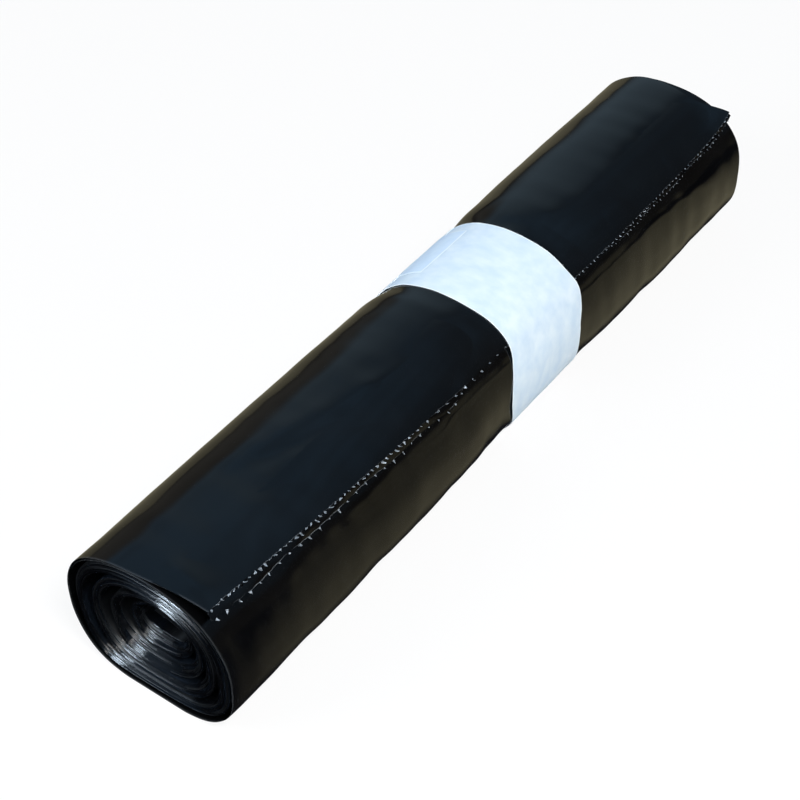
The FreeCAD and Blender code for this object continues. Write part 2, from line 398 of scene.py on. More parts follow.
class Rule:
    """A number in a node tree, which ordinary arithmetic adds nodes to.

    Args:
        bench: the helper of the number's tree.
        socket: the output that holds the number.
    """

    def __init__(self, bench: "NodeBench", socket: Socket) -> None:
        self.bench = bench
        self.socket = socket

    def apply(self, operation: str, *others: object) -> "Rule":
        """Adds a Math node with this number and others as its inputs."""
        made = self.bench.node("ShaderNodeMath", {"operation": operation})
        for socket, value in zip(made.inputs, (self, *others)):
            self.bench.feed(socket, value)
        return Rule(self.bench, made.outputs[0])

    def __add__(self, other: object) -> "Rule":
        """This number plus another."""
        return self.apply("ADD", other)

    def __sub__(self, other: object) -> "Rule":
        """This number less another."""
        return self.apply("SUBTRACT", other)

    def __mul__(self, other: object) -> "Rule":
        """This number times another."""
        return self.apply("MULTIPLY", other)

    def __truediv__(self, other: object) -> "Rule":
        """This number over another."""
        return self.apply("DIVIDE", other)

    def __pow__(self, other: object) -> "Rule":
        """This number to a power."""
        return self.apply("POWER", other)

    def signed_power(self, power: "Rule") -> "Rule":
        """Raises the size of the number to a power and keeps its sign."""
        return self.apply("SIGN") * (self.apply("ABSOLUTE") ** power)

    def spread(
        self, low: float, high: float, to_low: float = 0.0, to_high: float = 1.0, how: str = "LINEAR"
    ) -> "Rule":
        """Maps a range onto another one, without going past its ends."""
        ends = {"From_Min": low, "From_Max": high, "To_Min": to_low, "To_Max": to_high}
        return self.bench.rule("ShaderNodeMapRange", {"interpolation_type": how}, Value=self, **ends)

    def eased(self, low: float, high: float, least: float = 0.0) -> "Rule":
        """Eases from a least value to 1 as the number goes from low to high."""
        return self.spread(low, high, least, how="SMOOTHSTEP")


class NodeBench:
    """Adds nodes to a tree and links them."""

    tree: bpy.types.NodeTree

    def feed(self, socket: Socket, value: object) -> None:
        """Links a node, an output or a number to a socket, or sets the socket to a plain value."""
        if isinstance(value, bpy.types.Node):
            value = value.outputs[0]
        elif isinstance(value, Rule):
            value = value.socket
        if isinstance(value, Socket):
            self.tree.links.new(value, socket)
        else:
            socket.default_value = value

    def node(self, kind: str, settings: dict | None = None, **inputs: object) -> bpy.types.Node:
        """Adds a node.

        Args:
            kind: the node's type.
            settings: its own properties.
            **inputs: socket names, with spaces written as underscores, and what goes into them.

        Returns:
            The node.
        """
        made = self.tree.nodes.new(kind)
        for key, value in (settings or {}).items():
            setattr(made, key, value)
        for key, value in inputs.items():
            self.feed(made.inputs[key.replace("_", " ")], value)
        return made

    def rule(self, kind: str, settings: dict | None = None, **inputs: object) -> Rule:
        """Adds a node and returns its first output as a number."""
        return Rule(self, self.node(kind, settings, **inputs).outputs[0])

    def split(self, vector: object) -> list[Rule]:
        """The three numbers of a vector."""
        return [Rule(self, output) for output in self.node("ShaderNodeSeparateXYZ", Vector=vector).outputs]


class ShaderBench(NodeBench):
    """Builds the tree of one material.

    Args:
        name: the material's name.
    """

    def __init__(self, name: str) -> None:
        self.material = bpy.data.materials.new(name)
        self.material.use_nodes = True
        self.tree = self.material.node_tree
        self.tree.nodes.clear()

    def mix(self, share: object, first: object, second: object) -> Socket:
        """Mixes two colours by a share."""
        made = self.node("ShaderNodeMix", {"data_type": "RGBA"}, Factor=share)
        self.feed(made.inputs[6], first)
        self.feed(made.inputs[7], second)
        return made.outputs[2]

    def noise(self, where: object, scale: float, detail: float, stretch: Sequence[float] = (1, 1, 1)) -> Rule:
        """Noise that may be stretched along its axes."""
        mapping = self.node("ShaderNodeMapping", Vector=where, Scale=stretch)
        return self.rule("ShaderNodeTexNoise", Vector=mapping, Scale=scale, Detail=detail)

    def bump(self, height: Rule, depth: float, strength: float = 1.0, **under: object) -> bpy.types.Node:
        """Makes relief of a number, on what relief there is already."""
        return self.node("ShaderNodeBump", Strength=strength, Distance=depth, Height=height, **under)

    def place(self) -> Socket:
        """Object coordinates, in metres."""
        return self.node("ShaderNodeTexCoord").outputs["Object"]

    def lay(self) -> Socket:
        """Lengths along the sheet and across it, in metres."""
        return self.node("ShaderNodeUVMap", {"uv_map": "Lay"}).outputs[0]

    def attribute(self, name: str) -> Rule:
        """A number that the mesh keeps for each vertex."""
        return Rule(self, self.node("ShaderNodeAttribute", {"attribute_name": name}).outputs["Fac"])

    def finish(self, shader: bpy.types.Node) -> Material:
        """Links the shader to the output and returns the material."""
        self.node("ShaderNodeOutputMaterial", Surface=shader)
        return self.material

    def dress(self, **inputs: object) -> Material:
        """Ends the tree with one plain shader and returns the material."""
        return self.finish(self.node("ShaderNodeBsdfPrincipled", **inputs))


class WorldBench(ShaderBench):
    """The same helper for the sky's own tree.

    Args:
        name: the world's name.
    """

    def __init__(self, name: str) -> None:
        world = bpy.data.worlds.new(name)
        bpy.context.scene.world = world
        world.use_nodes = True
        self.tree = world.node_tree
        self.tree.nodes.clear()


FILM_IOR = 1.5


@dataclass(frozen=True)
class FilmFinish:
    """Glossy black polyethylene film, hazy and finely streaked along the way it was wound."""

    name: str = "black_film"
    body: Colour = (0.0012, 0.0013, 0.0016, 1.0)
    worn: Colour = (0.0026, 0.0028, 0.0032, 1.0)
    # Pale colour painted on the torn edges, where light glints on them.
    torn_glint: Colour = (0.22, 0.24, 0.26, 1.0)
    roughness: float = 0.075
    haze: float = 0.09
    streak_depth: float = 0.02 * MM
    ripple_depth: float = 0.12 * MM

    def build(self) -> Material:
        """Makes the material for sheets that carry a lay, and a torn edge with a painted glint."""
        bench = ShaderBench(self.name)
        lay = bench.lay()
        cloud = bench.noise(lay, scale=28.0, detail=4.0)
        streak = bench.noise(lay, scale=60.0, detail=3.0, stretch=(0.35, 3.2, 1.0))
        ripple = bench.noise(lay, scale=34.0, detail=2.0, stretch=(0.55, 1.3, 1.0))
        tone = bench.mix(cloud.spread(0.35, 0.75), self.body, self.worn)
        return bench.dress(
            # The torn edge gets the painted glint colour.
            Base_Color=bench.mix(bench.attribute("torn_glint"), tone, self.torn_glint),
            Roughness=cloud.spread(0.3, 0.8, self.roughness, self.roughness + self.haze),
            IOR=FILM_IOR,
            Normal=bench.bump(streak, self.streak_depth, Normal=bench.bump(ripple, self.ripple_depth)),
        )


@dataclass(frozen=True)
class EdgeFinish:
    """The stacked edges of the wound film, less even than the outer turn, with a bluish sheen painted into
    the colour of some of its turns.
    """

    name: str = "film_edges"
    body: Colour = (0.0008, 0.0010, 0.0015, 1.0)
    painted_highlight: Colour = (0.0042, 0.0062, 0.0095, 1.0)
    roughness: float = 0.08
    patchiness: float = 0.08
    dullest: float = 0.26

    def build(self) -> Material:
        """Makes the material for turns that carry a number of their own, which paints a sheen into some
        turns' colour and sets their gloss; without one they are dull.
        """
        bench = ShaderBench(self.name)
        patch = bench.noise(bench.place(), scale=90.0, detail=3.0)
        ring = bench.attribute("ring")
        rough = patch.spread(0.3, 0.7, self.roughness, self.roughness + self.patchiness)
        return bench.dress(
            # Turns with a high number get a paler colour: a painted sheen on their edges.
            Base_Color=bench.mix(ring.spread(0.50, 0.66), self.body, self.painted_highlight),
            Roughness=rough + ring.spread(0.40, 0.56, self.dullest, 0.0),
            IOR=FILM_IOR,
        )


@dataclass(frozen=True)
class TornFinish:
    """Film of the torn perforation ties, with pale specks painted on as highlights where light catches them.
    """

    name: str = "torn_film"
    dark: Colour = (0.05, 0.055, 0.06, 1.0)
    painted_highlight: Colour = (0.34, 0.385, 0.43, 1.0)
    roughness: float = 0.35

    def build(self) -> Material:
        """Makes the material from object coordinates."""
        bench = ShaderBench(self.name)
        speck = bench.noise(bench.place(), scale=1400.0, detail=2.0)
        # Pale specks: painted highlights on the ties.
        colour = bench.mix(speck.spread(0.35, 0.6), self.dark, self.painted_highlight)
        return bench.dress(Base_Color=colour, Roughness=self.roughness, IOR=FILM_IOR)


@dataclass(frozen=True)
class PaperFinish:
    """Matt paper with soft clouds in its pulp, fine fibres and a highlight painted along its cut edge."""

    name: str
    body: Colour
    cloud: Colour
    # Colour of the highlight painted along the cut edge.
    edge: Colour
    fibre_depth: float = 0.035 * MM
    relief: float = 0.7
    roughness: float = 0.62
    specular: float = 0.1
    ior: float = 1.45

    def build(self) -> Material:
        """Makes the material for sheets that carry a lay and a painted rim highlight."""
        bench = ShaderBench(self.name)
        lay = bench.lay()
        pulp = bench.noise(lay, scale=190.0, detail=5.0, stretch=(1.0, 0.7, 1.0))
        wide = bench.noise(lay, scale=45.0, detail=3.0)
        fibre = bench.noise(lay, scale=2600.0, detail=4.0, stretch=(0.35, 1.0, 1.0))
        tone = bench.mix((pulp * 0.6 + wide * 0.4).spread(0.38, 0.64), self.body, self.cloud)
        return bench.dress(
            # The cut edge gets the painted highlight colour.
            Base_Color=bench.mix(bench.attribute("rim_highlight"), tone, self.edge),
            Roughness=self.roughness,
            IOR=self.ior,
            Specular_IOR_Level=self.specular,
            Normal=bench.bump(fibre + pulp * 2.0, self.fibre_depth, self.relief),
        )


# Each paper's third colour is the highlight painted along its cut edge.
BAND_PAPER = PaperFinish(
    "band_paper", (0.61, 0.73, 0.84, 1.0), (0.74, 0.83, 0.89, 1.0), (0.88, 0.94, 0.98, 1.0)
)
TAPE_PAPER = PaperFinish(
    "band_tape", (0.62, 0.76, 0.91, 1.0), (0.70, 0.82, 0.94, 1.0), (0.88, 0.96, 1.0, 1.0)
)


# The film


@dataclass(frozen=True)
class Crease:
    """A soft fold in the outer film, as a ridge along a line on the roll, in millimetres and degrees."""

    x: float
    angle: float
    to_x: float
    to_angle: float
    width: float
    height: float

    def relief(self, x: Array, angle: Array, reach: float) -> Array:
        """Height of the fold at places on the roll, in metres.

        Args:
            x: places along the roll, in metres.
            angle: places round it.
            reach: length of one degree round the roll, in metres.

        Returns:
            Heights, which fade out past the ends of the line.
        """
        run = np.array([(self.to_x - self.x) * MM, (self.to_angle - self.angle) * reach])
        length = float(np.hypot(*run))
        unit = run / length
        across_x = x - self.x * MM
        across_arc = (angle - self.angle) * reach
        along = (across_x * unit[0] + across_arc * unit[1]) / length
        aside = across_arc * unit[0] - across_x * unit[1]
        fade = smooth_step(-0.15, 0.25, along) * (1.0 - smooth_step(0.7, 1.15, along))
        return self.height * MM * fade * bell(aside, self.width * MM)


CREASES = (
    Crease(-125, 84, -60, 112, 4.5, -0.55),
    Crease(-105, 84, -35, 104, 4.0, 0.34),
    Crease(-60, 92, -15, 120, 6.0, -0.42),
    Crease(-170, 98, -173, 134, 4.5, 0.32),
    Crease(-168, 46, -150, 70, 6.0, 0.22),
    Crease(70, 90, 120, 104, 9.0, -0.30),
    Crease(105, 112, 140, 100, 6.0, -0.45),
    Crease(128, 100, 150, 122, 3.0, -0.25),
    Crease(146, 152, 160, 205, 2.6, 0.45),
    Crease(152, 156, 168, 210, 2.6, -0.60),
    Crease(136, 156, 148, 215, 3.4, -0.50),
    Crease(104, 160, 116, 220, 4.0, -0.32),
    Crease(-40, 141, -4, 139, 4.5, 0.35),
    Crease(42, 141, 78, 143, 4.5, 0.32),
    Crease(-20, 150, -6, 215, 3.5, -0.30),
    Crease(-34, 165, -14, 220, 4.0, 0.20),
    Crease(50, 150, 62, 220, 3.5, -0.25),
)


@dataclass(frozen=True)
class Flap:
    """The last part of the web, held by the band and sprung up at both ends."""

    root_turns: float = 60.0 / 360.0
    near_lift: float = 0.82
    near_power: float = 1.4
    far_lift: float = 0.26
    far_power: float = 1.7
    corner_lift: float = 0.37
    corner_power: float = 16.0
    tangent_turns: float = 0.004

    def lift(self, form: RollForm, band: BandPlace, x: Array) -> Array:
        """Share from 0, lying on the roll, to 1, running on straight."""
        from_rim = x - form.near_rim
        near = np.clip(1.0 - from_rim / band.from_near_rim, 0.0, 1.0)
        far_start = band.from_near_rim + band.width
        far = np.clip((from_rim - far_start) / (form.web_width - far_start), 0.0, 1.0)
        sprung = self.far_lift * far**self.far_power + self.corner_lift * far**self.corner_power
        return self.near_lift * near**self.near_power + sprung


@dataclass
class OuterFilm:
    """The outermost turn of film with its flap, and the inner ply at the free edge."""

    form: RollForm
    band: BandPlace
    flap: Flap
    turns: float = 1.32
    girth_share: float = 0.92
    thickness: float = 0.14 * MM
    rows: int = 215
    columns: int = 205
    first_row: float = 0.16 * MM
    # Strength of the glint painted along the near rim.
    near_rim_glint: float = 0.12
    tear_depth: float = 0.3 * MM
    tie_pitch: float = 5.3 * MM
    near_set_back: float = 1.8 * MM
    far_set_back: float = 1.0 * MM
    set_back_turns: float = 0.22
    set_back_power: float = 3.0
    far_hollow: float = 4.2 * MM
    hollow_turns: float = 0.085
    hollow_reach: float = 0.055
    hollow_power: float = 9.0
    wrinkle_room: float = 0.35 * MM
    near_droop: float = 0.8 * MM
    near_droop_reach: float = 12.0 * MM
    far_droop: float = 0.3 * MM
    far_droop_reach: float = 7.0 * MM
    far_swell: float = 0.35 * MM
    pucker_depth: float = 0.10 * MM
    pucker_reach: float = 7.0 * MM
    rise_at_band: float = 0.26 * MM
    room_under_band: float = 0.05 * MM
    ply_rows: int = 40
    ply_overhang: float = 2.6 * MM
    far_overhang_share: float = 0.62
    ply_retreat: float = 1.2 * MM
    ply_reach: float = 26.0 * MM
    ply_bend: float = 7.0 * MM
    ply_gap: float = 0.3 * MM
    ply_drop: float = 2.0 * MM
    ply_lift_share: float = 0.92
    edge_step: float = 0.8 * MM

    @property
    def girth(self) -> float:
        """Length of the outermost turn."""
        return 2.0 * math.pi * self.form.half_width * self.girth_share

    @property
    def band_near(self) -> float:
        """X of the band's near edge at the top of the roll."""
        return self.band.middle(self.form) - self.band.width / 2.0

    @property
    def band_far(self) -> float:
        """X of the band's far edge at the top of the roll."""
        return self.band.middle(self.form) + self.band.width / 2.0

    def sheet(self, turns: Array, x: Array, lift_share: float = 1.0) -> Array:
        """Points on the web, with its flap sprung up.

        Args:
            turns: turns in from the free edge, rows by columns.
            x: places along the roll, rows by columns.
            lift_share: how much of the flap's lift the sheet takes.

        Returns:
            Rows by columns by 3 points.
        """
        y, z = self.form.web(turns)
        root = self.flap.root_turns
        start = np.array(self.form.web(np.array(root)))
        ahead = np.array(self.form.web(np.array(root - self.flap.tangent_turns))) - start
        ahead = ahead / np.hypot(*ahead)
        length = np.maximum(root - turns, 0.0) * self.girth
        lift = self.flap.lift(self.form, self.band, x) * lift_share
        lift = np.where(turns < root, lift, 0.0)
        y = y * (1.0 - lift) + (start[0] + ahead[0] * length) * lift
        z = z * (1.0 - lift) + (start[1] + ahead[1] * length) * lift
        return np.stack([x, y, z], axis=-1)

    def set_back(self, turns: Array, x: Array) -> Array:
        """Draws the flap's two rims back from the rims of the turn below."""
        free = 1.0 - smooth_step(0.0, self.set_back_turns, turns)
        middle = (self.form.near_rim + self.form.far_rim) / 2.0
        from_middle = (x - middle) / (self.form.web_width / 2.0)
        depth = np.where(from_middle < 0.0, self.near_set_back, self.far_set_back)
        waist = self.far_hollow * bell(turns - self.hollow_turns, self.hollow_reach)
        curved = waist * np.maximum(from_middle, 0.0) ** self.hollow_power
        return x - depth * free * signed_power(from_middle, np.array(self.set_back_power)) - curved

    def relief(self, turns: Array, x: Array) -> Array:
        """Wrinkles of the outer film, which stay inside the roll's outline except at its far rim.

        Args:
            turns: turns in from the free edge, rows by columns.
            x: places along the roll, rows by columns.

        Returns:
            Heights over the roll's form.
        """
        angle = self.form.free_edge_angle - 360.0 * turns
        around = np.mod(angle, 360.0)
        arc = turns * 2.0 * math.pi * self.form.half_width
        wide = SoftNoise(3, (52.0 * MM, 34.0 * MM)).at(x, arc)
        fine = SoftNoise(5, (17.0 * MM, 44.0 * MM)).at(x, arc)
        low_side = smooth_step(145.0, 165.0, around) * (1.0 - smooth_step(250.0, 280.0, around))
        height = (0.10 + 0.04 * low_side) * MM * wide + (0.035 + 0.05 * low_side) * MM * fine
        height -= self.wrinkle_room

        to_near_rim = np.clip(1.0 - (x - self.form.near_rim) / self.near_droop_reach, 0.0, 1.0)
        to_far_rim = np.clip(1.0 - (self.form.far_rim - x) / self.far_droop_reach, 0.0, 1.0)
        height -= self.near_droop * to_near_rim**2 * (1.0 - smooth_step(0.1, 0.3, turns))
        height -= self.far_droop * to_far_rim**2 * (1.0 - smooth_step(0.15, 0.3, turns))
        for crease in CREASES:
            height += crease.relief(x, angle, 2.0 * math.pi * self.form.half_width / 360.0)

        past_near = x - self.band_near
        past_far = x - self.band_far
        to_band = np.minimum(np.abs(past_near), np.abs(past_far))
        pucker = SoftNoise(11, (30.0 * MM, 13.0 * MM)).at(x, arc)
        height += bell(to_band, self.pucker_reach) * self.pucker_depth * pucker
        beyond = smooth_step(1.0 * MM, 16.0 * MM, past_far)
        height += self.rise_at_band * smooth_step(-20.0 * MM, -6.0 * MM, past_near) * (1.0 - beyond)
        under = (past_near > -8.0 * MM) & (past_far < 2.0 * MM)
        height = np.where(under, np.minimum(height, -self.room_under_band), height)
        return np.minimum(height, 0.0) + self.far_swell * to_far_rim * smooth_step(0.8, 0.95, turns)

    def columns_x(self) -> Array:
        """Places along the roll, closer together near both rims."""
        even = np.linspace(-1.0, 1.0, self.columns)
        eased = np.sign(even) * (1.0 - (1.0 - np.abs(even)) ** 1.15)
        return (self.form.near_rim + self.form.far_rim) / 2.0 + eased * self.form.web_width / 2.0

    def tear(self, x: Array, phase: float) -> Array:
        """Shape of the torn free edge: a shallow scallop between each tie and the next."""
        return self.tear_depth * np.abs(np.sin(math.pi * (x / self.tie_pitch + phase)))

    def build_wrap(self, material: Material) -> bpy.types.Object:
        """Makes the outermost turn."""
        x_line = self.columns_x()
        rows = np.linspace(self.first_row / self.girth, 1.0, self.rows - 1) ** 1.12
        share = np.concatenate([[0.0], rows])
        start = self.tear(x_line, 0.0) / self.girth
        turns = start[None, :] + share[:, None] * (self.turns - start[None, :])
        x = self.set_back(turns, np.broadcast_to(x_line, turns.shape))
        outer = self.band.squeeze(self.form, self.sheet(turns, x))
        outer = along_normals(outer, self.relief(turns, x))
        inner = along_normals(outer, -self.thickness)
        outer[..., 2] = np.maximum(outer[..., 2], 0.0)
        inner[..., 2] = np.maximum(inner[..., 2], self.thickness * 0.8)
        mesh = shell_mesh("outer_film", outer, inner, np.stack([turns * self.girth, x], axis=-1))
        # Painted glint on the torn free edge, in patches; it fades out between X = -60 mm and -20 mm and is
        # left off from there to the band's far edge.
        painted_glint_patches = np.clip(0.45 + 0.5 * sway(41, 14.0 * MM, x_line), 0.0, 1.0)
        painted_glint_patches *= 1.0 - smooth_step(-60.0 * MM, -20.0 * MM, x_line) * (x_line < self.band_far)
        torn_glint = (share == 0.0)[:, None] * painted_glint_patches[None, :]
        # A fainter painted glint along the whole near rim.
        torn_glint[:, :1] = np.maximum(torn_glint[:, :1], self.near_rim_glint)
        store(mesh, "torn_glint", torn_glint, faces=2)
        return new_piece("outer_film", mesh, material)

    def ply_edge(self, x: Array) -> Array:
        """How far past the free edge the inner ply ends."""
        near = 1.0 - smooth_step(self.band_near - 38.0 * MM, self.band_near - 25.0 * MM, x)
        far = smooth_step(self.band_far + 12.0 * MM, self.band_far + 34.0 * MM, x)
        reach = self.ply_overhang * (near + self.far_overhang_share * far)
        reach -= self.ply_retreat * (1.0 - near - far)
        return reach * (1.0 + 0.18 * sway(21, 38.0 * MM, x))

    def inner_ply(self, x: Array, past: Array) -> Array:
        """Points on the inner ply, which bends down under the outer one.

        Args:
            x: places along the roll, rows by columns.
            past: how far each point lies past the free edge, rows by columns.

        Returns:
            Rows by columns by 3 points.
        """
        turns = -past / self.girth
        x = self.set_back(np.maximum(turns, 0.0), x)
        points = self.band.squeeze(self.form, self.sheet(turns, x, self.ply_lift_share))
        bent = np.clip(1.0 - (self.ply_edge(x) - past) / self.ply_bend, 0.0, 1.0) ** 2
        sprung = np.clip(self.flap.lift(self.form, self.band, x) / 0.3, 0.0, 1.0)
        drop = self.ply_drop * bent * sprung * (1.0 + 0.2 * sway(23, 31.0 * MM, x))
        return along_normals(points, -self.ply_gap - drop)

    def build_inner_ply(self, material: Material) -> bpy.types.Object:
        """Makes the strip of the inner ply that shows past the free edge."""
        x_line = self.columns_x()
        edge = self.ply_edge(x_line) - self.tear(x_line, 0.37)
        steps = np.concatenate([[0.0], np.linspace(0.2 * MM, self.ply_reach, self.ply_rows - 1)])
        past = edge[None, :] - steps[:, None]
        x = np.broadcast_to(x_line, past.shape)
        outer = self.inner_ply(x, past)
        inner = along_normals(outer, -self.thickness)
        mesh = shell_mesh("inner_ply", outer, inner, np.stack([-past, x], axis=-1))
        # Painted glint on the inner ply's torn edge, in patches.
        painted_glint_patches = np.clip(0.35 + 0.6 * sway(43, 17.0 * MM, x_line), 0.0, 1.0)
        store(mesh, "torn_glint", (steps == 0.0)[:, None] * painted_glint_patches[None, :], faces=2)
        return new_piece("inner_ply", mesh, material)

    def edge_line(self, upper: bool, start: float, end: float, count: int = 150) -> EdgeLine:
        """Follows part of a torn edge.

        Args:
            upper: whether it is the free edge or the edge of the inner ply.
            start: X where the part starts.
            end: X where it ends.
            count: how many points are read.

        Returns:
            Points of the edge, and for each of them a direction straight on past the edge and one
            away from the roll.
        """
        x_line = np.linspace(start, end, count)
        x = np.broadcast_to(x_line, (2, count))
        back = np.array([[0.0], [self.edge_step]])
        if upper:
            seen = np.full(count, True)
            turns = np.broadcast_to(back / self.girth, (2, count))
            x = self.set_back(turns, x)
            points = self.band.squeeze(self.form, self.sheet(turns, x))
            points = along_normals(points, self.relief(turns, x))
        else:
            edge = self.ply_edge(x_line)
            seen = edge > self.edge_step
            points = self.inner_ply(x, edge[None, :] - back)
        ahead = points[0] - points[1]
        ahead /= np.linalg.norm(ahead, axis=-1, keepdims=True)
        away = np.cross(ahead, np.gradient(points[0], axis=0))
        away /= np.linalg.norm(away, axis=-1, keepdims=True)
        away *= np.sign(away[:, 2:3])
        return points[0][seen], ahead[seen], away[seen]


# Pieces that follow a rule


class RuleTree(NodeBench):
    """A geometry node tree with named inputs that makes one mesh.

    Args:
        name: the tree's name.
    """

    def __init__(self, name: str) -> None:
        self.tree = bpy.data.node_groups.new(name, "GeometryNodeTree")
        self.values: dict[str, object] = {}
        for direction in ("INPUT", "OUTPUT"):
            self.tree.interface.new_socket("Geometry", in_out=direction, socket_type="NodeSocketGeometry")
        self.source = self.node("NodeGroupInput")

    def thing(self, name: str, kind: str, value: object) -> Socket:
        """Adds a named input."""
        socket = self.tree.interface.new_socket(name, in_out="INPUT", socket_type=kind)
        self.values[socket.identifier] = value
        return self.source.outputs[name]

    def number(self, name: str, value: float, whole: bool = False) -> Rule:
        """Adds a named input for a size or a count."""
        return Rule(self, self.thing(name, "NodeSocketInt" if whole else "NodeSocketFloat", value))

    def noise(self, where: Rule, detail: float) -> Rule:
        """Noise along one number."""
        return self.rule("ShaderNodeTexNoise", {"noise_dimensions": "1D"}, W=where, Scale=1.0, Detail=detail)

    def vector(self, x: Rule, y: Rule, z: Rule) -> bpy.types.Node:
        """Puts three numbers together."""
        return self.node("ShaderNodeCombineXYZ", X=x, Y=y, Z=z)

    def position(self) -> list[Rule]:
        """The three numbers of each point's place."""
        return self.split(self.node("GeometryNodeInputPosition"))

    def moved(self, geometry: bpy.types.Node, place: bpy.types.Node) -> bpy.types.Node:
        """Puts each point at a place."""
        return self.node("GeometryNodeSetPosition", Geometry=geometry, Position=place)

    def carrier_curve(self) -> bpy.types.Node:
        """The curve through the mesh that the tree starts from."""
        return self.node("GeometryNodeMeshToCurve", Mesh=self.source)

    def finish(self, geometry: bpy.types.Node, material: Material) -> None:
        """Ends the tree: everything becomes one plain mesh with one finish."""
        dressing = self.thing("Finish", "NodeSocketMaterial", material)
        real = self.node("GeometryNodeRealizeInstances", Geometry=geometry)
        dressed = self.node("GeometryNodeSetMaterial", Geometry=real, Material=dressing)
        self.node("NodeGroupOutput", Geometry=dressed)

    def bake(self, name: str, carrier: Mesh) -> Mesh:
        """Runs the tree on an object and returns the plain mesh that it makes.

        Args:
            name: the mesh's name.
            carrier: the mesh that the tree starts from.

        Returns:
            The mesh, with nothing live left on it.
        """
        holder = bpy.data.objects.new(name + "_holder", carrier)
        bpy.context.scene.collection.objects.link(holder)
        modifier = holder.modifiers.new("rule", "NODES")
        modifier.node_group = self.tree
        for identifier, value in self.values.items():
            modifier[identifier] = value
        graph = bpy.context.evaluated_depsgraph_get()
        mesh = bpy.data.meshes.new_from_object(holder.evaluated_get(graph))
        mesh.name = name
        holder.modifiers.remove(modifier)
        bpy.data.objects.remove(holder, do_unlink=True)
        return mesh


def line_mesh(name: str, points: Array, closed: bool) -> Mesh:
    """Makes a mesh of edges through points, for a node tree to follow.

    Args:
        name: the mesh's name.
        points: the points in their order.
        closed: whether the line runs back to its first point; an open line breaks at wide gaps.

    Returns:
        The mesh.
    """
    mesh = bpy.data.meshes.new(name)
    steps = np.linalg.norm(np.diff(points, axis=0), axis=1)
    edges = [(i, i + 1) for i, step in enumerate(steps) if closed or step < 3.0 * np.median(steps)]
    if closed:
        edges.append((len(points) - 1, 0))
    mesh.from_pydata([tuple(point) for point in points], edges, [])
    return mesh


